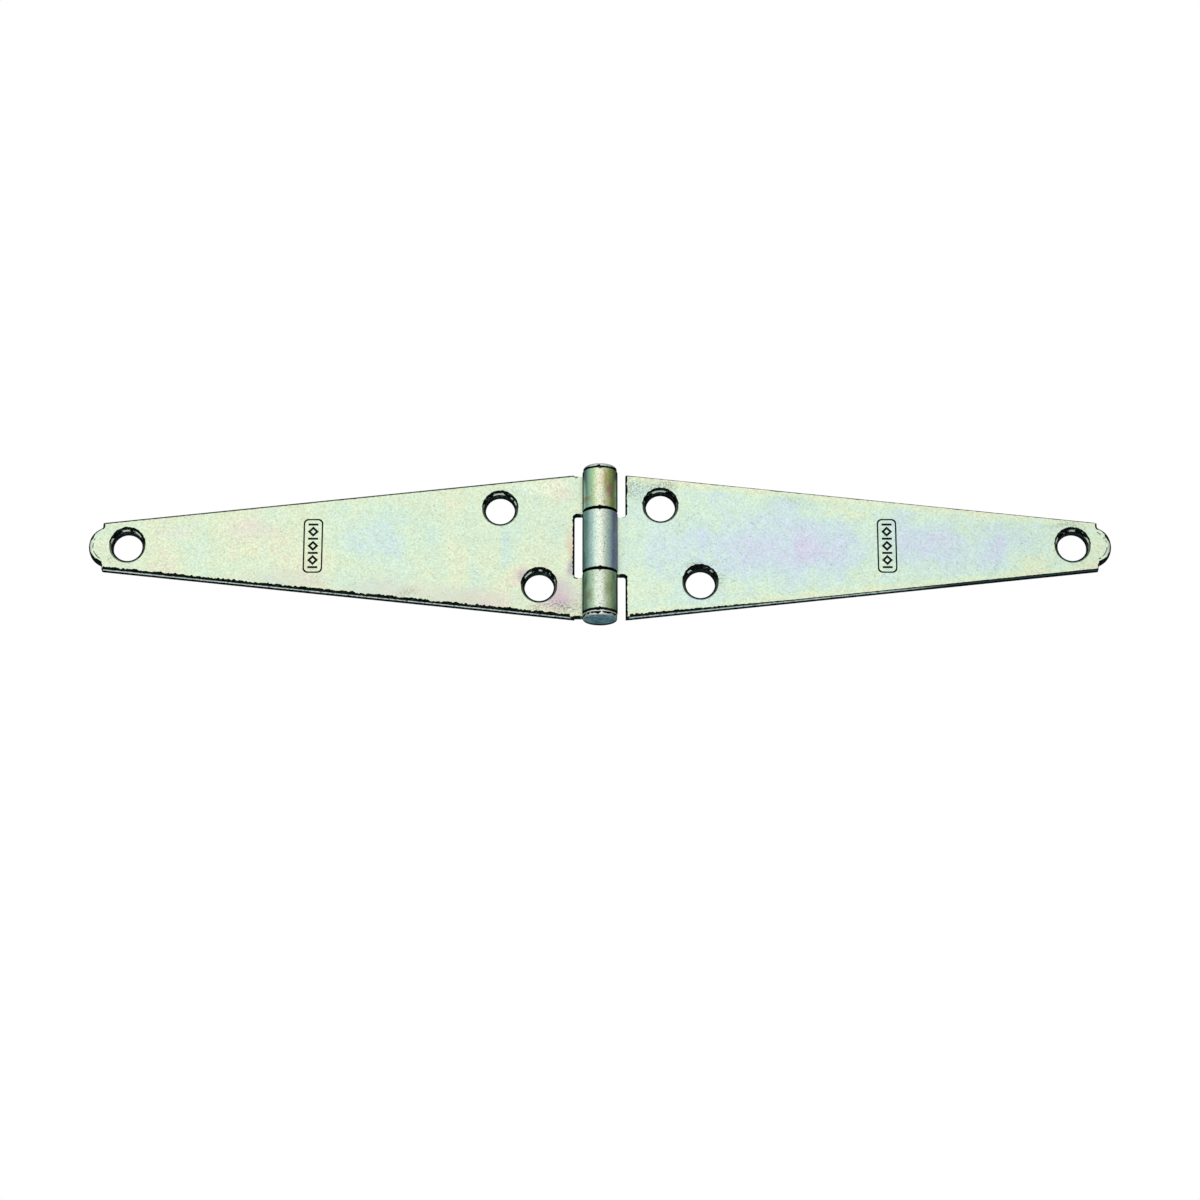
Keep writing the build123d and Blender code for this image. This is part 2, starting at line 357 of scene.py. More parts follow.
# Deeper colours burnt into each leaf: centre x and y, radius in x and y (mm), colour and strength.
BURNT = {
    "two_knuckle_leaf": [
        (-6.0, 0.0, 1.2, 5.0, (0.90, 0.46, 0.40, 1), 0.52),
        (-6.1, -4.6, 1.3, 2.8, (0.46, 0.22, 0.56, 1), 0.62),
        (-11.0, 12.4, 7.0, 2.2, (0.97, 1.0, 0.80, 1), 0.50),
        (-7.6, -10.2, 3.6, 3.8, (0.60, 0.36, 0.60, 1), 0.70),
        (-15.6, -5.6, 1.9, 1.5, (0.50, 0.34, 0.52, 1), 0.50),
        (-7.0, 11.0, 3.4, 2.4, (0.90, 0.66, 0.70, 1), 0.35),
        (-84, 3.0, 5.0, 1.6, (0.92, 0.74, 0.78, 1), 0.38),
        (-69.0, 3.6, 6.0, 2.6, (0.90, 0.66, 0.74, 1), 0.46),
        (-69.5, -1.2, 4.0, 1.6, (0.94, 0.92, 0.56, 1), 0.36),
        (-44.0, 1.5, 4.0, 4.6, (0.62, 0.76, 0.92, 1), 0.30),
        (-39.5, -5.6, 4.0, 3.0, (0.58, 0.84, 0.80, 1), 0.34),
        (-26, -11.0, 12.0, 3.2, (0.60, 0.50, 0.60, 1), 0.46),
        (-42, -9.2, 12.0, 3.0, (0.66, 0.54, 0.62, 1), 0.42),
        (-62, -7.0, 12.0, 2.8, (0.66, 0.56, 0.62, 1), 0.36),
    ],
    "one_knuckle_leaf": [
        (28.0, -1.0, 4.5, 3.4, (0.72, 0.64, 0.86, 1), 0.34),
        (40.0, 3.0, 5.0, 2.6, (0.74, 0.72, 0.86, 1), 0.16),
        (50.5, 7.2, 2.6, 1.2, (0.88, 0.84, 0.50, 1), 0.45),
        (68.0, 1.2, 3.5, 2.2, (0.76, 0.66, 0.84, 1), 0.30),
    ],
}

# Grime on each leaf: centre x and y, radius in x and y (mm), and strength.
GRIME = {
    "two_knuckle_leaf": [
        (-8.0, -12.8, 5.0, 2.4, 0.75),
        (-6.0, -3.6, 1.1, 4.2, 0.40),
        (-15.2, -6.2, 2.0, 1.6, 0.50),
        (-12.0, -13.0, 2.5, 1.6, 0.55),
        (-38.0, -9.6, 3.0, 1.6, 0.40),
        (-96.4, -2.6, 2.2, 1.6, 0.35),
    ],
    "one_knuckle_leaf": [
        (7.0, 12.0, 3.0, 3.2, 0.55),
        (12.0, 12.6, 4.4, 1.5, 0.75),
        (19.9, -3.9, 3.6, 0.9, 0.70),
        (24.0, -7.5, 1.2, 2.5, 0.45),
        (39.0, 9.5, 5.0, 1.4, 0.30),
        (93.0, 4.4, 4.0, 0.9, 0.50),
    ],
}

# Blots on the end knuckles: centre x and y, radius in x and y (mm), and colour.
KNUCKLE_TINTS = [
    (1.9, 10.2, 0.9, 1.9, (0.50, 0.22, 0.22, 1)),
    (-2.0, 8.4, 1.3, 1.2, (0.62, 0.42, 0.16, 1)),
    (1.3, 12.6, 0.5, 1.9, (0.52, 0.46, 0.10, 1)),
    (0.4, 12.6, 1.0, 1.6, (0.86, 0.78, 0.55, 1)),
    (1.9, -10.4, 0.9, 1.8, (0.44, 0.55, 0.24, 1)),
    (-2.2, -12.4, 0.9, 1.4, (0.36, 0.42, 0.26, 1)),
]

# The pin's zinc, and the strips along the edges, from the darkest metal to the brightest; the torn steel's dark
# stops are partly painted shade, and also colour the strips of painted shade round the holes, knuckle ends and pin
# heads.
PIN_STOPS = [
    (0.30, linear(76, 100, 108)), (0.52, linear(98, 122, 130)), (0.74, linear(120, 142, 148)),
]
TORN_STEEL_AND_SHADE_STOPS = [(0.40, linear(6, 8, 8)), (0.64, linear(26, 33, 30)), (0.80, linear(110, 122, 112))]
ROLLED_STOPS = [
    (0.38, linear(36, 50, 44)), (0.62, linear(84, 106, 94)), (0.80, linear(150, 166, 154)),
]
LIP_STOPS = [(0.40, linear(16, 26, 24)), (0.62, linear(44, 68, 60)), (0.80, linear(110, 130, 118))]


def stain(graph, place, centre_x, centre_y, radius_x, radius_y):
    """A soft-edged blot, 1 in its middle and 0 outside."""
    offset = graph.vector("SUBTRACT", place, (centre_x * MM, centre_y * MM, 0))
    scaled = graph.vector("MULTIPLY", offset, (1 / (radius_x * MM), 1 / (radius_y * MM), 0))
    return graph.step(graph.vector("LENGTH", scaled), 1.15, 0.15)


def leaf_place(g, leaf, place, normal):
    """Where a point lies on a leaf, with the noises and masks that several layers share."""
    x, y, z = g.split(place)
    nx, ny, nz = g.split(normal)
    reach = g.math("ABSOLUTE", x)
    warp = g.add("ShaderNodeTexNoise", {"Vector": place, "Scale": 1 / (5 * MM), "Detail": 3.0})
    shift = g.vector("SUBTRACT", warp.outputs["Color"], (0.5, 0.5, 0.5))
    return SimpleNamespace(
        leaf=leaf,
        place=place,
        warped=g.vector("ADD", place, g.vector("MULTIPLY", shift, (4 * MM, 4 * MM, 0))),
        y=y,
        z=z,
        nx=nx,
        ny=ny,
        reach=reach,
        upward=g.math("ABSOLUTE", nz),
        mottle=g.noise(place, 1.5 * MM, 4, 0.72),
        fine=g.noise(place, 0.42 * MM, 2, 0.6),
        ragged=g.noise(place, 0.55 * MM, 3, 0.75),
        curl=g.all(g.step(reach, 4.3 * MM, 3.3 * MM), g.step(z, 1.4 * MM, 2.6 * MM)),
        specks=g.all(
            g.step(g.cells(place, 0.85 * MM), 0.22, 0.10),
            g.step(g.noise(place, 2.6 * MM, 2), 0.50, 0.60),
        ),
    )


def face_film(g, at):
    """Colour of the flat film: broad streaks across the leaf, blotches, fine mottle and stains."""
    streaks = g.noise(g.vector("MULTIPLY", at.place, (1, 0.25, 0.25)), 7 * MM, 3, 0.55)
    blotches = g.noise(at.place, 11 * MM, 4, 0.55, 0.6)
    film = FILM_BASE[at.leaf]
    for layer, amount in ((streaks, 0.50), (blotches, 0.45), (at.mottle, 0.40), (at.fine, 0.30)):
        film = g.vary(layer, amount, film)
    from_root = g.math("SUBTRACT", at.reach, ROOT_REACH)
    half_width = g.math("MULTIPLY_ADD", from_root, -TAPER, ROOT_HALF_WIDTH)
    flank = g.step(g.math("SUBTRACT", half_width, g.math("ABSOLUTE", at.y)), 2.4 * MM, 0.2 * MM)
    film = g.math("MULTIPLY_ADD", flank, FLANK_FILM[at.leaf], film)
    for *blot, amount in STAINS[at.leaf]:
        film = g.math("MULTIPLY_ADD", stain(g, at.warped, *blot), amount, film)
    colour = g.ramp(film, PALE_FILM)
    sandy = g.step(at.fine, 0.30, 0.62)
    for *blot, tint, amount in BURNT[at.leaf]:
        spot = g.all(stain(g, at.warped, *blot), sandy)
        colour = g.mix(g.math("MULTIPLY", spot, amount), colour, tint)
    return colour


def knuckle_film_and_shading(g, at):
    """Deeper colours of the rolled knuckles, which change round the curl and along the pin, with a painted
    highlight along the top and painted shade down the sides.
    """
    bands = g.noise(g.vector("MULTIPLY", at.place, (1, 0.40, 1)), 2.6 * MM, 4, 0.6, 0.5)
    # The ramps follow how sideways the surface faces, so their bright middle is a painted highlight and their dark
    # ends are painted shade.
    around = g.vary(bands, 0.34, g.math("MULTIPLY_ADD", at.nx, 0.5, 0.5))
    if at.leaf == "one_knuckle_leaf":
        return g.ramp(around, MIDDLE_KNUCKLE_FILM_AND_SHADING)
    upper = g.step(at.y, -1 * MM, 1 * MM)
    colour = g.mix(upper, g.ramp(around, BOTTOM_KNUCKLE_FILM_AND_SHADING), g.ramp(around, TOP_KNUCKLE_FILM_AND_SHADING))
    for *blot, tint in KNUCKLE_TINTS:
        spot = g.math("MULTIPLY", stain(g, at.warped, *blot), 0.75)
        colour = g.mix(spot, colour, tint)
    return colour


def with_wear_and_side_shade(g, at, colour):
    """Adds grain, scratches, pits, grime in patches, and dots on the curls, and paints shade on the curls' flanks.
    """
    grain = g.noise(at.place, 0.42 * MM, 3, 0.8)
    colour = g.scale(colour, g.math("MULTIPLY_ADD", grain, GRAIN_CONTRAST, GRAIN_LEVEL[at.leaf]))
    for degrees, strength, tint in SCRATCHES:
        lines = g.noise(g.turned(at.place, degrees, (1, 0.09, 1)), 0.30 * MM, 2, 0.5)
        lines = g.all(g.step(lines, 0.62, 0.72), g.step(at.mottle, 0.40, 0.60))
        colour = g.mix(g.math("MULTIPLY", lines, strength), colour, tint)
    colour = g.mix(g.math("MULTIPLY", at.specks, 0.45), colour, linear(120, 140, 128))
    patches = [
        g.math("MULTIPLY", stain(g, at.warped, *blot), amount) for *blot, amount in GRIME[at.leaf]
    ]
    broken = g.step(g.noise(at.place, 0.40 * MM, 3, 0.8), 0.44, 0.60)
    grime = g.all(g.any(*patches), broken, g.step(at.upward, 0.8, 0.95))
    colour = g.mix(grime, colour, linear(78, 84, 82))
    sideways = g.math("ABSOLUTE", at.nx)
    crown = g.all(at.curl, g.step(sideways, 0.75, 0.15))
    dots = g.all(crown, g.step(g.noise(at.place, 0.24 * MM, 2, 0.6), 0.56, 0.66))
    colour = g.mix(g.math("MULTIPLY", dots, 0.75), colour, linear(92, 100, 88))
    # Painted shade: the curls' sides darken by how sideways they face.
    painted_side_shade = g.step(sideways, SIDE_SHADE_START[at.leaf], SIDE_SHADE_START[at.leaf] + 0.04)
    return g.mix(g.math("MULTIPLY", g.all(at.curl, painted_side_shade), 0.88), colour, linear(20, 32, 28))


def with_sheared_edges(g, at, colour):
    """Adds the edges: burnished, dark where the metal tore, rolled over at the back; the tear, the slot walls, the
    die roll and the nose's shoulder walls are near black, torn steel darkened further as painted shade.

    Returns the colour and the mask of the torn part.
    """
    beyond = g.step(at.reach, BARREL_REACH - 0.3 * MM, BARREL_REACH)
    side = g.all(g.step(at.upward, 0.75, 0.45), beyond)
    upright = g.vector("MULTIPLY", at.place, (1, 1, 0.4))
    fleck = g.step(g.noise(upright, 0.7 * MM, 3, 0.7), 0.48, 0.62)
    if at.leaf == "two_knuckle_leaf":
        dull = g.math("MULTIPLY", fleck, g.step(at.reach, 92 * MM, 70 * MM))
        dull = g.math("MULTIPLY", dull, 0.8)
        burnished = g.mix(dull, linear(236, 242, 236), linear(96, 116, 110))
    else:
        dull = g.math("MULTIPLY", fleck, 0.7)
        burnished = g.mix(dull, linear(206, 218, 214), linear(112, 134, 134))
        burnished = g.mix(g.step(at.reach, 56 * MM, 70 * MM), burnished, linear(52, 68, 74))
    above_low = g.math("SUBTRACT", at.z, g.vary(at.ragged, 0.5 * MM, DIE_ROLL_HEIGHT[at.leaf]))
    above_tear = g.math("SUBTRACT", at.z, g.vary(at.ragged, 0.9 * MM, SHEET - 0.22 * MM))
    lower = g.all(beyond, g.step(at.upward, 0.9, 0.7), g.step(above_low, 0.08 * MM, -0.08 * MM))
    torn = g.all(side, g.step(above_tear, -0.06 * MM, 0.06 * MM))
    torn = g.any(torn, g.all(side, g.step(at.reach, 5.9 * MM, 5.6 * MM)))
    # Near black on the tear, die roll and nose shoulder walls: torn steel darkened as painted shade.
    tear_and_shade_colour = g.ramp(at.ragged, [(0.40, linear(5, 6, 6)), (0.75, linear(34, 40, 38))])
    corner = g.all(side, g.step(at.reach, TIP_REACH - 0.40 * MM, TIP_REACH - 0.25 * MM))
    colour = g.mix(side, colour, burnished)
    colour = g.mix(lower, colour, DIE_ROLL_AND_SHADE[at.leaf])
    colour = g.mix(torn, colour, tear_and_shade_colour)
    return g.mix(corner, colour, linear(12, 16, 16)), torn


def with_holes(g, at, colour):
    """Adds hole walls painted black as shade, and countersinks painted dark as shade on the far side with a few
    painted glints.

    Returns the colour and the masks of the walls, countersinks and glints.
    """
    flat = g.vector("MULTIPLY", at.place, (1, 1, 0))
    from_bore, *others = [g.vector("DISTANCE", flat, (x, y, 0)) for x, y, z in BORES[at.leaf]]
    for distance in others:
        from_bore = g.math("MINIMUM", from_bore, distance)
    holes = g.step(from_bore, BORE_CLEAR, BORE_CLEAR - 0.1 * MM)
    # Painted shade: the hole walls are near black.
    painted_shade_wall = g.all(holes, g.step(at.upward, 0.5, 0.2))
    sink = g.all(holes, g.step(at.upward, 0.97, 0.90))
    chatter = g.noise(g.vector("MULTIPLY", at.place, (1, 1, 2.2)), 0.75 * MM, 3, 0.6)
    # The countersink's far side is painted dark as shade, with bright painted glints where the chatter noise
    # peaks.
    stops = [(0.55, linear(12, 15, 15)), (0.63, linear(44, 56, 52)), (0.70, linear(235, 240, 232))]
    sink_colour_shade_and_glints = g.mix(g.step(at.ny, -0.30, 0.15), g.ramp(chatter, stops), linear(206, 220, 202))
    # Painted highlight: broken bright arcs on the countersink's far side.
    painted_glint = g.all(
        g.step(from_bore, HOLE_RADIUS + 0.26 * MM, HOLE_RADIUS + 0.34 * MM),
        g.step(from_bore, HOLE_RADIUS + 0.58 * MM, HOLE_RADIUS + 0.50 * MM),
        g.step(g.noise(at.place, 1.9 * MM, 2, 0.5), 0.52, 0.56),
        g.step(at.ny, -0.05, -0.25),
    )
    sink_colour_shade_and_glints = g.mix(painted_glint, sink_colour_shade_and_glints, linear(246, 250, 244))
    colour = g.mix(sink, colour, sink_colour_shade_and_glints)
    return g.mix(painted_shade_wall, colour, linear(16, 19, 19)), painted_shade_wall, sink, painted_glint


def leaf_zinc(leaf):
    """Zinc plate on one leaf: film colours, wear, torn edges and hole walls painted dark as shade, with more
    painted shade and highlights on the knuckles, countersinks and edges.
    """

    def build(g, place, normal):
        at = leaf_place(g, leaf, place, normal)
        colour = with_wear_and_side_shade(g, at, g.mix(at.curl, face_film(g, at), knuckle_film_and_shading(g, at)))
        colour, torn = with_sheared_edges(g, at, colour)

        # The rolled-over tip of the nose is bare and scuffed, and painted near white as a highlight.
        rolled_nose_and_highlight = g.all(
            g.step(at.reach, TIP_REACH, TIP_REACH + 0.3 * MM),
            g.step(at.upward, 0.55, 0.75),
            g.step(at.z, SHEET - 0.015 * MM, SHEET - 0.05 * MM),
            g.step(at.z, 0.4 * SHEET, 0.5 * SHEET),
        )
        colour = g.mix(rolled_nose_and_highlight, colour, linear(244, 246, 240))

        colour, painted_shade_wall, sink, painted_glint = with_holes(g, at, colour)
        # Painted shade on the knuckles' end faces, in the gaps between the knuckles.
        knuckle_end_shade = g.all(
            g.step(g.math("ABSOLUTE", at.ny), 0.6, 0.85),
            g.step(at.reach, BARREL_REACH, BARREL_REACH - 0.3 * MM),
        )
        colour = g.mix(knuckle_end_shade, colour, linear(34, 42, 40))

        # The floor of the stamped marks is painted dark: painted shade in the grooves.
        stamp_floor_shade = g.all(
            g.step(at.z, SHEET - 0.04 * MM, SHEET - 0.10 * MM),
            g.step(at.z, SHEET - 0.40 * MM, SHEET - 0.30 * MM),
            g.step(at.reach, MARK_START, MARK_START + MM),
            g.step(at.reach, MARK_END, MARK_END - MM),
            g.step(at.upward, 0.5, 0.9),
        )
        colour = g.mix(stamp_floor_shade, colour, linear(22, 30, 26))

        roughness = g.math("MULTIPLY_ADD", g.noise(place, 2.4 * MM, 3, 0.6), 0.16, 0.27)
        roughness = g.lerp(g.any(torn, painted_shade_wall), roughness, 0.62)
        roughness = g.lerp(sink, roughness, g.lerp(painted_glint, 0.34, 0.80))
        roughness = g.lerp(rolled_nose_and_highlight, roughness, 0.60)
        pits = g.noise(place, 0.42 * MM, 3, 0.7)
        waves = g.noise(place, 4.5 * MM, 2)
        relief = g.math("MULTIPLY_ADD", waves, 3.0, pits)
        relief = g.math("MULTIPLY_ADD", at.specks, -0.8, relief)
        relief = g.math("MULTIPLY_ADD", g.math("MULTIPLY", torn, at.ragged), 4.0, relief)
        return colour, roughness, g.bump(relief, 0.012 * MM)

    return metal(leaf + "_zinc", build, (0.50, 0.56, 0.55, 1))


def torn_steel(name, stops):
    """Torn, grimy metal in strips along the sheared edges; with the darkest stops it is also painted shade."""

    def build(g, place, normal):
        ragged = g.noise(place, 0.45 * MM, 3, 0.75)
        colour = g.ramp(ragged, stops)
        relief = g.noise(place, 0.25 * MM, 3, 0.7)
        return colour, g.math("MULTIPLY_ADD", ragged, 0.3, 0.45), g.bump(relief, 0.03 * MM)

    return metal(name, build, (0.08, 0.10, 0.10, 1))


def pin_zinc():
    """Blue-grey zinc over a hammered wire end, with curved tool scratches."""

    def build(g, place, normal):
        x, y = g.split(place)[:2]
        facing = g.split(normal)[1]
        blotch = g.noise(place, 1.8 * MM, 4, 0.6)
        colour = g.ramp(blotch, PIN_STOPS)
        away = g.vector("DISTANCE", g.vector("MULTIPLY", place, (1, 0, 1)), (1.5 * MM, 0, 9.5 * MM))
        inputs = {0: g.math("MULTIPLY", x, 0.35), 1: g.math("MULTIPLY", away, 2.2)}
        arcs = g.add("ShaderNodeCombineXYZ", inputs).outputs[0]
        scratch = g.noise(arcs, 0.5 * MM, 2, 0.6, 0.8)
        colour = g.mix(g.step(scratch, 0.55, 0.63), colour, linear(44, 66, 78))
        colour = g.mix(g.step(scratch, 0.44, 0.38), colour, linear(150, 174, 182))
        side = g.step(g.math("ABSOLUTE", facing), 0.75, 0.35)
        colour = g.mix(side, colour, linear(228, 236, 230))
        # The domed head is painted pale: its own zinc, partly a painted highlight.
        dome_and_highlight = g.all(g.step(y, 0, 1 * MM), g.step(facing, 0.2, 0.5))
        colour = g.mix(dome_and_highlight, colour, linear(206, 216, 208))
        roughness = g.math("MULTIPLY_ADD", blotch, 0.25, 0.26)
        relief = g.math("MULTIPLY_ADD", scratch, -0.6, g.noise(place, 0.7 * MM, 3))
        return colour, roughness, g.bump(relief, 0.02 * MM)

    return metal("pin_zinc", build, (0.40, 0.48, 0.50, 1))


def set_material(obj, material):
    """Gives the object one material, whatever slots it came with."""
    obj.data.materials.clear()
    obj.data.materials.append(material)


def jitter(point, size, seed):
    """Smooth random value from about -1 to 1 that changes over this size in metres."""
    return noise.noise(Vector(point) / size + Vector((seed * 7.3, seed * 3.1, seed * 5.7)))


def section_loops(node, height):
    """Closed loops where a level plane cuts the node, each a list of points, longest first."""
    bm = bmesh.new()
    bm.from_mesh(nodes[node].data)
    bmesh.ops.remove_doubles(bm, verts=bm.verts, dist=1e-6)
    everything = bm.verts[:] + bm.edges[:] + bm.faces[:]
    plane = {"plane_co": (0, 0, height), "plane_no": (0, 0, 1)}
    cut = bmesh.ops.bisect_plane(bm, geom=everything, **plane)["geom_cut"]
    neighbours = {}
    for edge in (e for e in cut if isinstance(e, bmesh.types.BMEdge)):
        a, b = edge.verts
        neighbours.setdefault(a, []).append(b)
        neighbours.setdefault(b, []).append(a)
    loops = []
    left = dict.fromkeys(neighbours)
    while left:
        start = next(iter(left))
        loop, previous, here = [], None, start
        while here is not None:
            loop.append(here.co.copy())
            left.pop(here, None)
            onward = [v for v in neighbours[here] if v is not previous and v in left]
            previous, here = here, onward[0] if onward else None
        loops.append(loop)
    bm.free()
    return sorted(loops, key=len, reverse=True)


def resample(loop, spacing):
    """Evenly spaced points round a closed loop, with the outward direction at each."""
    ends = loop[1:] + loop[:1]
    lengths = [(b - a).length for a, b in zip(loop, ends)]
    count = int(sum(lengths) / spacing)
    step = sum(lengths) / count
    points, index, walked = [], 0, 0.0
    for i in range(count):
        while walked + lengths[index] < i * step:
            walked += lengths[index]
            index += 1
        points.append(loop[index].lerp(ends[index], (i * step - walked) / lengths[index]))
    area = sum(a.x * b.y - b.x * a.y for a, b in zip(points, points[1:] + points[:1]))
    turn = 1 if area > 0 else -1
    samples = []
    for i, point in enumerate(points):
        along = points[(i + 1) % count] - points[i - 1]
        samples.append((point, Vector((along.y, -along.x, 0)).normalized() * turn))
    return samples


def runs(samples, wanted):
    """The stretches of a closed loop whose samples pass the test."""
    keep = [wanted(*sample) for sample in samples]
    if all(keep):
        return [samples + samples[:1]]
    start = keep.index(False)
    found, run = [], []
    for i in range(start, start + len(samples) + 1):
        k = i % len(samples)
        if keep[k]:
            run.append(samples[k])
        else:
            if len(run) > 3:
                found.append(run)
            run = []
    return found


def strip_mesh(name, strips):
    """A thin closed skin over each strip; a strip is a list of rows of (point, outward) pairs."""
    vertices, faces = [], []
    for rows in strips:
        base, width = len(vertices), len(rows[0])
        ring = 2 * width
        for row in rows:
            vertices += [point for point, outward in row]
            vertices += [point - outward * STRIP_SINK for point, outward in reversed(row)]
        for i in range(len(rows) - 1):
            a, b = base + i * ring, base + (i + 1) * ring
            for j in range(ring):
                k = (j + 1) % ring
                faces.append((a + j, a + k, b + k, b + j))
        faces.append([base + j for j in reversed(range(ring))])
        faces.append([base + (len(rows) - 1) * ring + j for j in range(ring)])
    mesh = bpy.data.meshes.new(name)
    mesh.from_pydata(vertices, [], faces)
    bm = bmesh.new()
    bm.from_mesh(mesh)
    bmesh.ops.recalc_face_normals(bm, faces=bm.faces)
    bm.to_mesh(mesh)
    bm.free()
    piece = bpy.data.objects.new(name, mesh)
    bpy.context.scene.collection.objects.link(piece)
    return piece


def surface_finder(node):
    """A function giving the surface point and normal that a ray first meets on a node."""
    tree = BVHTree.FromObject(nodes[node], bpy.context.evaluated_depsgraph_get())

    def find(origin, direction=Vector((0, 0, -1))):
        return tree.ray_cast(origin, direction)[:2]

    return find


def edge_strips(node, wanted, inner, lower, seed):
    """Ragged strips over the front edge of a leaf, following its outline.

    inner(point, outward) and lower(point, outward) give how far the strip reaches in over the face
    and down the side, both measured inwards from the widest outline.
    """
    find = surface_finder(node)
    loop = section_loops(node, SECTION_HEIGHT)[0]
    strips = []
    for run in runs(resample(loop, STRIP_SPACING), wanted):
        rows = []
        for i, (point, outward) in enumerate(run):
            taper = min(1.0, (i + 1) / 4, (len(run) - i) / 4)
            a, b = lower(point, outward), inner(point, outward)
            over = max(a, EDGE_LEAN + 0.01 * MM)
            depths = [(a, -0.01), (max(a, EDGE_LEAN - 0.008 * MM), 0.03), (over, 0.03)]
            for t, lift in ((0.45, 0.032), (0.80, 0.018), (1, -0.012)):
                depths.append((over + (b - over) * t, lift))
            row = []
            for k, (depth, lift) in enumerate(depths):
                place = point - outward * depth
                found, normal = find(Vector((place.x, place.y, RAY_START)))
                if found is None:
                    break
                rough = 1 + 0.9 * jitter(found, 0.30 * MM, seed + k) * (k > 2)
                row.append((found + normal * lift * MM * rough * taper, normal))
            if len(row) == len(depths):
                rows.append(row)
            else:
                if len(rows) > 3:
                    strips.append(rows)
                rows = []
        if len(rows) > 3:
            strips.append(rows)
    return strips


def wall_strips(node, wanted, top, seed):
    """Ragged strips that stand on the lower part of a leaf's sheared edge, up to top(point)."""
    find = surface_finder(node)
    loop = section_loops(node, SECTION_HEIGHT)[0]
    foot = 0.10 * MM
    profile = [(0, -0.01), (0.10, 0.012), (0.40, 0.020), (0.70, 0.024), (0.92, 0.014), (1, -0.012)]
    strips = []
    for run in runs(resample(loop, STRIP_SPACING), wanted):
        rows = []
        for i, (point, outward) in enumerate(run):
            taper = min(1.0, (i + 1) / 4, (len(run) - i) / 4)
            row = []
            for t, lift in profile:
                height = foot + (top(point) - foot) * t
                found, normal = find(Vector((point.x, point.y, height)) + outward * MM, -outward)
                if found is None:
                    break
                rough = 1 + 0.8 * jitter(found, 0.30 * MM, seed + t)
                row.append((found + normal * lift * MM * rough * taper, normal))
            if len(row) == len(profile):
                rows.append(row)
        if len(rows) > 3:
            strips.append(rows)
    return strips


def ring_strip(radius, place_at, angles, inner, seed, lift):
    """A ragged strip round part of a circle, given in degrees.

    place_at(angle, depth) gives a surface point and its outward direction, and inner(angle, point)
    the strip's depth there; lift is its thickness in mm.
    """
    start, end = (math.radians(a) for a in angles)
    count = max(8, int((end - start) * radius / (0.14 * MM)))
    rows = []
    for i in range(count + 1):
        angle = start + (end - start) * i / count
        taper = min(1.0, (i + 0.5) / 4, (count - i + 0.5) / 4)
        spot = place_at(angle, 0.0)[0]
        depth = inner(angle, spot) * (0.3 + 0.7 * taper)
        row = []
        for t, height in ((0, -0.4), (0.08, 0.5), (0.2, 0.9), (0.45, 1.0), (0.75, 0.7), (1, -0.5)):
            point, outward = place_at(angle, depth * t)
            rough = 1 + 0.9 * jitter(point, 0.30 * MM, seed + t)
            row.append((point + outward * height * lift * MM * rough * taper, outward))
        rows.append(row)
    return rows


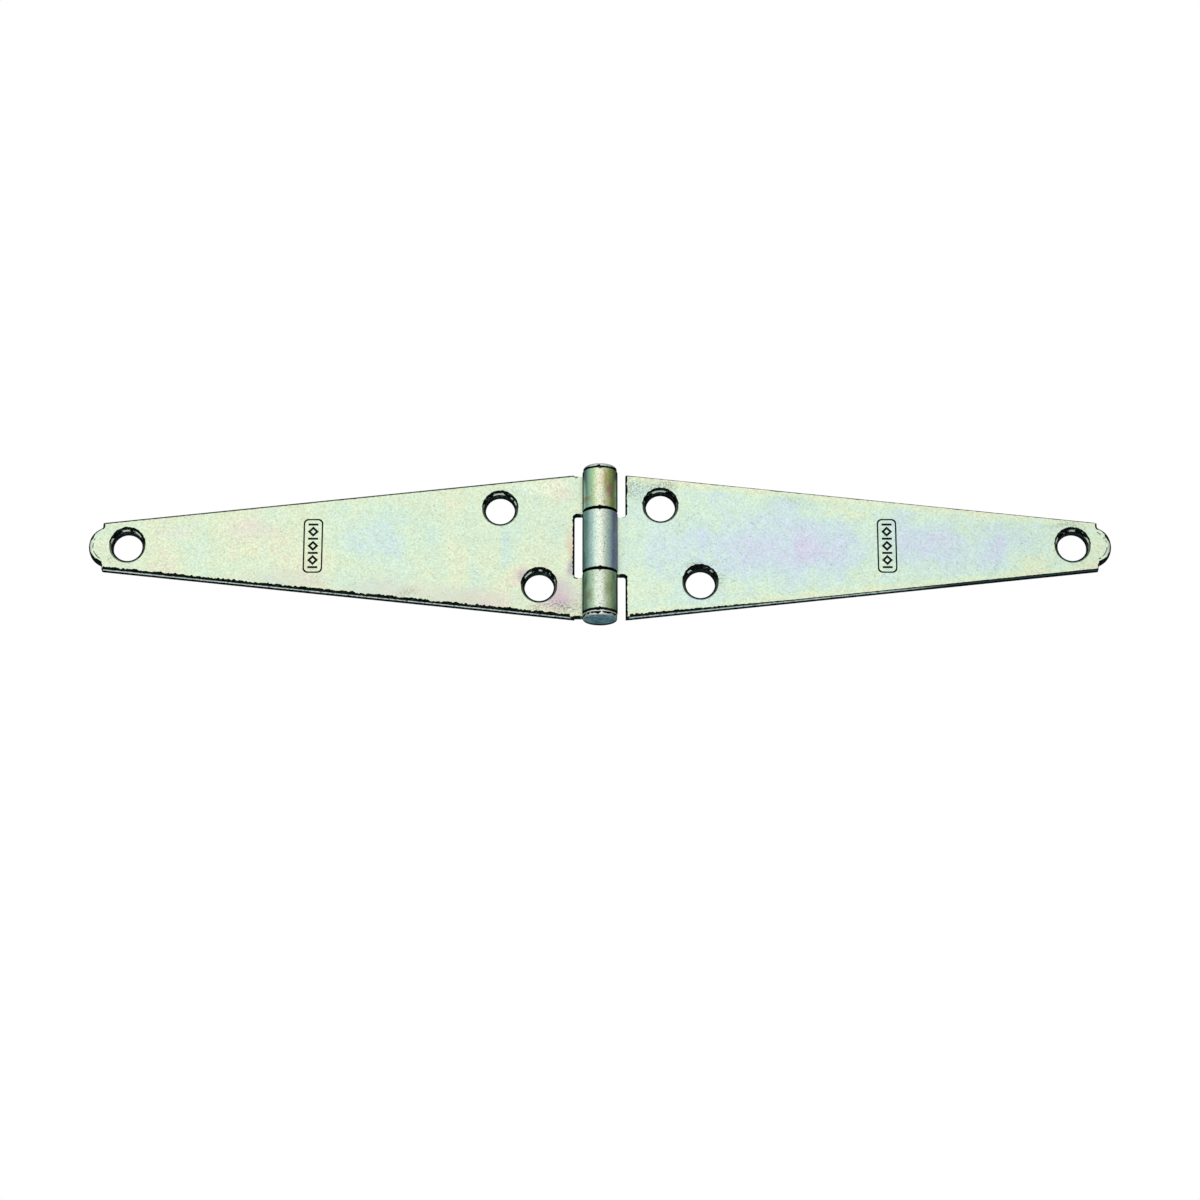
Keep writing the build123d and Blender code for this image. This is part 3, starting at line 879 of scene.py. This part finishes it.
def leaf_edge_pieces(leaf, body, dark, thin, lip_metal):
    """A leaf's torn edges (near, root, slot and nose), near black as torn steel and painted shade, thin far lines,
    and rims of its holes, the far-side rims dark as painted shade.
    """
    seed = 1 if leaf == "one_knuckle_leaf" else 2

    def is_far(point, outward):
        return outward.y > SIDEWAYS and BARREL_REACH + 0.5 * MM < abs(point.x) < TIP_REACH

    def is_torn(point, outward):
        return abs(point.x) > BARREL_REACH and not is_far(point, outward)

    def torn_inner(point, outward):
        reach, across = abs(point.x), point.y / MM
        fine, coarse = jitter(point, 0.45 * MM, seed), jitter(point, 3.0 * MM, seed + 3)
        if reach < 6 * MM:  # root and slot
            width = 0.10 if outward.y < -SIDEWAYS else 0.30
        elif reach > SHOULDER_REACH and abs(across) > 3.75:  # shoulders
            width = 0.34 if across > 0 else 0.12
        elif reach > SHOULDER_REACH and across > 0:  # far half of the nose
            width = 0.20 + 0.28 * math.exp(-((across - 2.0) / 0.8) ** 2)
        elif reach > SHOULDER_REACH:  # near half of the nose
            width = 0.24 + 0.30 * max(0.0, -across / 3.3 - 0.45)
        elif leaf == "two_knuckle_leaf":
            width = 0.58
        else:
            width = 0.56 - 0.46 * min(1.0, max(0.0, (reach / MM - 12) / 26))
        return (0.12 + max(0.03, width * (1 + 0.55 * fine + 0.25 * coarse))) * MM

    def torn_lower(point, outward):
        fine, coarse = jitter(point, 0.5 * MM, seed + 5), jitter(point, 4.0 * MM, seed + 6)
        return min(0.112, max(0.06, 0.095 + 0.02 * fine + 0.015 * coarse)) * MM

    def far_inner(point, outward):
        width = 0.28
        if leaf == "one_knuckle_leaf":
            width = 0.12 + 0.12 * max(0.0, jitter(point, 2.2 * MM, seed + 9))
        return (0.12 + max(0.04, width + 0.07 * jitter(point, 0.6 * MM, seed + 8))) * MM

    def far_lower(point, outward):
        return 0.02 * MM

    def is_nose_line(point, outward):
        return abs(point.x) > TIP_REACH + 0.3 * MM and jitter(point, 0.7 * MM, seed + 15) > -0.12

    def nose_inner(point, outward):
        return (1.02 + 0.05 * jitter(point, 0.4 * MM, seed + 16)) * MM

    def nose_lower(point, outward):
        return (0.84 + 0.06 * jitter(point, 0.4 * MM, seed + 17)) * MM

    def is_near(point, outward):
        along = ROOT_REACH + 0.25 * MM < abs(point.x) < TIP_REACH - 0.1 * MM
        return outward.y < -SIDEWAYS and along

    def fracture_top(point):
        fine, coarse = jitter(point, 0.5 * MM, seed + 18), jitter(point, 2.5 * MM, seed + 19)
        return (FRACTURE_HEIGHT[leaf] + 0.22 * fine + 0.10 * coarse) * MM

    torn_strips = edge_strips(leaf, is_torn, torn_inner, torn_lower, seed + 10)
    torn_strips += wall_strips(leaf, is_near, fracture_top, seed + 27)
    torn = strip_mesh(leaf + "_torn_edge", torn_strips)
    thin_strips = edge_strips(leaf, is_far, far_inner, far_lower, seed + 20)
    thin_strips += edge_strips(leaf, is_nose_line, nose_inner, nose_lower, seed + 25)
    far = strip_mesh(leaf + "_far_edge", thin_strips)

    # Round the holes: a lip where the wall starts, and a ragged rim on the countersink's far side, dark as painted
    # shade.
    find = surface_finder(leaf)
    lips, rims = [], []
    for k, bore in enumerate(BORES[leaf]):
        def on_leaf(angle, depth, start, bore=bore):
            across, along = (start + depth) * math.cos(angle), (start + depth) * math.sin(angle)
            return find(Vector((bore[0] + across, bore[1] + along, RAY_START)))

        def lip_width(angle, point):
            return (0.34 + 0.10 * jitter(point, 0.7 * MM, seed) - 0.16 * math.sin(angle)) * MM

        def rim_width(angle, point):
            fine = jitter(point, 0.5 * MM, seed + 2)
            return (0.18 + 0.32 * math.sin(angle) ** 2 + 0.15 * fine) * MM

        def lip(angle, depth, place=on_leaf):
            return place(angle, depth, HOLE_RADIUS + 0.02 * MM)

        def rim(angle, depth, place=on_leaf):
            return place(angle, depth, SINK_RADIUS - 0.05 * MM)

        lips.append(ring_strip(HOLE_RADIUS, lip, (0, 360), lip_width, seed + 30 + k, 0.012))
        rims.append(ring_strip(SINK_RADIUS, rim, (4, 176), rim_width, seed + 40 + k, 0.02))
    hole_rim_shade = strip_mesh(leaf + "_hole_rim_shade", rims)
    hole_lips = strip_mesh(leaf + "_hole_lips", lips)

    for piece, material in ((torn, dark), (far, thin), (hole_rim_shade, dark), (hole_lips, lip_metal)):
        set_material(piece, material)
        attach(piece, body)


def knuckle_pieces(leaf, body, ends, dark):
    """Ragged dark rims round the ends of the knuckles, painted shade at the joints, each with a small burr at the
    top.
    """
    strips = []
    for k, (end, inward) in enumerate(ends):
        def on_barrel(angle, depth, end=end, inward=inward):
            drop = 0.0
            if depth < KNUCKLE_ROUND:
                drop = KNUCKLE_ROUND - math.sqrt(KNUCKLE_ROUND ** 2 - (KNUCKLE_ROUND - depth) ** 2)
            outward = Vector((math.sin(angle), 0, math.cos(angle)))
            on_axis = Vector((0, end + inward * depth, SWING_AXIS_Z))
            return on_axis + outward * (BARREL_RADIUS - drop), outward

        def width(angle, point, k=k):
            burr = math.exp(-(angle / math.radians(5)) ** 2)
            base = 0.28 if end < OUTER_END else 0.07
            return (base + 0.06 * jitter(point, 0.5 * MM, 50 + k) + 0.28 * burr) * MM

        strips.append(ring_strip(BARREL_RADIUS, on_barrel, (-84, 84), width, 60 + k, 0.016))
    for rows in strips:
        for row in rows:
            for point, outward in row:
                point.z = min(point.z, cad_high[2])  # the rims stay inside the CAD's box
    piece = strip_mesh(leaf + "_knuckle_rims", strips)
    set_material(piece, dark)
    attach(piece, body)


def short_arcs(seed):
    """Angles, in degrees, of short arcs of uneven length round a circle."""
    chance = random.Random(seed)
    arcs, angle = [], -175.0
    while angle < 165:
        length = chance.uniform(10, 42)
        arcs.append((angle, angle + length))
        angle += length + chance.uniform(2.5, 7)
    return arcs


def pin_ring_piece(dark):
    """Dark, ragged upset metal round the pin's heads, darkened as painted shade, and painted shade along the flat
    face's lower rim.
    """
    find = surface_finder("hinge_pin")

    def on_face(angle, depth):
        across, up = math.sin(angle), math.cos(angle)
        reach = FLAT_FACE_RADIUS - depth
        in_front = Vector((reach * across, -1.5 * RAY_START, SWING_AXIS_Z + reach * up))
        return find(in_front, Vector((0, 1, 0)))

    def lower_rim_shade(angle, point):
        return (0.12 + 1.40 * max(0.0, -math.cos(angle)) + 0.06 * jitter(point, 0.6 * MM, 79)) * MM

    # A band of painted shade, widest at the bottom, along the flat face's lower rim.
    strips = [ring_strip(FLAT_FACE_RADIUS, on_face, (84, 276), lower_rim_shade, 78, 0.012)]
    seat = max(abs(c.y) for c in corners("two_knuckle_leaf") if c.z > BARREL_RADIUS)
    for k, (side, radius, start, breadth, broken) in enumerate(HEAD_RINGS):

        def on_head(angle, depth, side=side, radius=radius, start=start):
            outward = Vector((math.sin(angle), 0, math.cos(angle)))
            on_axis = Vector((0, side * (seat + start + depth), SWING_AXIS_Z))
            return on_axis + outward * radius, outward

        def width(angle, point, k=k, side=side, breadth=breadth):
            burr = math.exp(-((angle + 0.1) / math.radians(6)) ** 2)
            flank = 0.0 if side < 0 else 0.8 * math.sin(angle) ** 4
            return breadth * (1 + 0.35 * jitter(point, 0.5 * MM, 70 + k) + 0.5 * burr + flank)

        for arc in short_arcs(k) if broken else [(-180, 180)]:
            strips.append(ring_strip(radius, on_head, arc, width, 75 + k, 0.03))
    piece = strip_mesh("hinge_pin_upset_and_shade_rings", strips)
    set_material(piece, dark)
    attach(piece, "fixed_leaf")


def knuckle_ends(node):
    """Where the knuckles of a leaf start and stop along the pin, each with its inward direction."""
    top = [c.y for c in corners(node) if c.z > 1.9 * BARREL_RADIUS]
    if node == "one_knuckle_leaf":
        return [(min(top), 1), (max(top), -1)]
    near, far = [y for y in top if y < 0], [y for y in top if y > 0]
    return [(min(near), 1), (max(near), -1), (min(far), 1), (max(far), -1)]


def make_camera():
    data = bpy.data.cameras.new("camera")
    data.lens = LENS_MM
    data.sensor_width = 36
    data.clip_start, data.clip_end = 0.01, 50
    camera = bpy.data.objects.new("camera", data)
    back = Vector((0, -math.sin(CAMERA_TILT), math.cos(CAMERA_TILT)))
    up = Vector((0, math.cos(CAMERA_TILT), math.sin(CAMERA_TILT)))
    camera.location = back * CAMERA_DISTANCE
    looking = -up * AIM_BELOW - camera.location
    camera.rotation_mode = "QUATERNION"
    camera.rotation_quaternion = looking.to_track_quat("-Z", "Y")
    bpy.context.scene.collection.objects.link(camera)
    bpy.context.scene.camera = camera


def make_floor():
    """A plain floor, white to the eye; reflections see grey, with pale cards in front and behind."""
    half = FLOOR_SIZE / 2
    mesh = bpy.data.meshes.new("floor")
    square = [(-half, -half), (half, -half), (half, half), (-half, half)]
    mesh.from_pydata([(x, y, FLOOR_Z) for x, y in square], [], [(0, 1, 2, 3)])
    floor = bpy.data.objects.new("floor", mesh)
    bpy.context.scene.collection.objects.link(floor)
    material = bpy.data.materials.new("floor_white")
    material.use_nodes = True
    g = Graph(material.node_tree)
    x, y = g.split(g.add("ShaderNodeTexCoord").outputs["Object"])[:2]
    middle = g.step(g.math("ABSOLUTE", x), 0.45, 0.16)
    front = g.all(middle, g.step(y, 0.0, -0.05))
    behind = g.all(middle, g.step(y, 0.12, 0.30))
    cards = g.mix(g.any(front, behind), FLOOR_GREY, FLOOR_CARD)
    glow = g.add("ShaderNodeEmission", {"Color": cards})
    seen = g.add("ShaderNodeLightPath").outputs["Is Camera Ray"]
    white = g.add("ShaderNodeEmission", {"Color": (1, 1, 1, 1), "Strength": 1.0})
    shader = g.add("ShaderNodeMixShader", {0: seen, 1: glow.outputs[0], 2: white.outputs[0]})
    output = g.add("ShaderNodeOutputMaterial")
    g.put(output.inputs["Surface"], shader.outputs[0])
    mesh.materials.append(material)


def make_world():
    """A pale tent, brightest overhead and fading towards the sides; plain white to the eye."""
    world = bpy.data.worlds.new("studio")
    world.use_nodes = True
    g = Graph(world.node_tree)
    direction = g.add("ShaderNodeTexCoord").outputs["Generated"]
    toward = Vector(TENT_TOP).normalized()
    cosine = g.vector("DOT_PRODUCT", direction, tuple(toward))
    angle = g.math("DIVIDE", g.math("ARCCOSINE", cosine), math.pi)
    stops = [(turn / 180, (*(c * level for c in TENT_TINT), 1)) for turn, level in TENT_LEVELS]
    tent = g.ramp(angle, stops, "LINEAR")
    y, z = g.split(direction)[1:]
    behind = g.all(g.step(y, 0.45, 0.80), g.step(z, 0.75, 0.35))
    tent = g.mix(behind, tent, REAR_GLOW)
    before = g.all(g.step(y, -0.45, -0.78), g.step(z, -0.08, 0.14))
    tent = g.mix(before, tent, FRONT_GLOW)
    seen = g.add("ShaderNodeLightPath").outputs["Is Camera Ray"]
    colour = g.mix(seen, tent, (1, 1, 1, 1))
    shader = g.add("ShaderNodeBackground", {"Color": colour, "Strength": 1.0})
    output = g.add("ShaderNodeOutputWorld")
    g.put(output.inputs["Surface"], shader.outputs[0])
    bpy.context.scene.world = world


def softbox(name, place, size, radiance):
    """A rectangular area light of a given brightness, turned towards the object."""
    data = bpy.data.lights.new(name, "AREA")
    data.shape = "RECTANGLE"
    data.size, data.size_y = size
    data.energy = radiance * math.pi * size[0] * size[1]
    light = bpy.data.objects.new(name, data)
    light.location = place
    light.rotation_mode = "QUATERNION"
    light.rotation_quaternion = (-Vector(place)).to_track_quat("-Z", "Y")
    bpy.context.scene.collection.objects.link(light)


def main():
    # The darkest strips: torn steel, and painted shade round the holes, knuckle ends and pin heads.
    dark = torn_steel("torn_steel", TORN_STEEL_AND_SHADE_STOPS)
    thin = torn_steel("rolled_edge", ROLLED_STOPS)
    lip_metal = torn_steel("hole_lip", LIP_STOPS)
    for leaf, body in LEAVES.items():
        set_material(nodes[leaf], leaf_zinc(leaf))
        leaf_edge_pieces(leaf, body, dark, thin, lip_metal)
        knuckle_pieces(leaf, body, knuckle_ends(leaf), dark)
    set_material(nodes["hinge_pin"], pin_zinc())
    pin_ring_piece(dark)
    make_camera()
    make_floor()
    make_world()
    softbox("top_light", **TOP_LIGHT)
    bpy.context.scene.view_settings.view_transform = "Standard"


main()
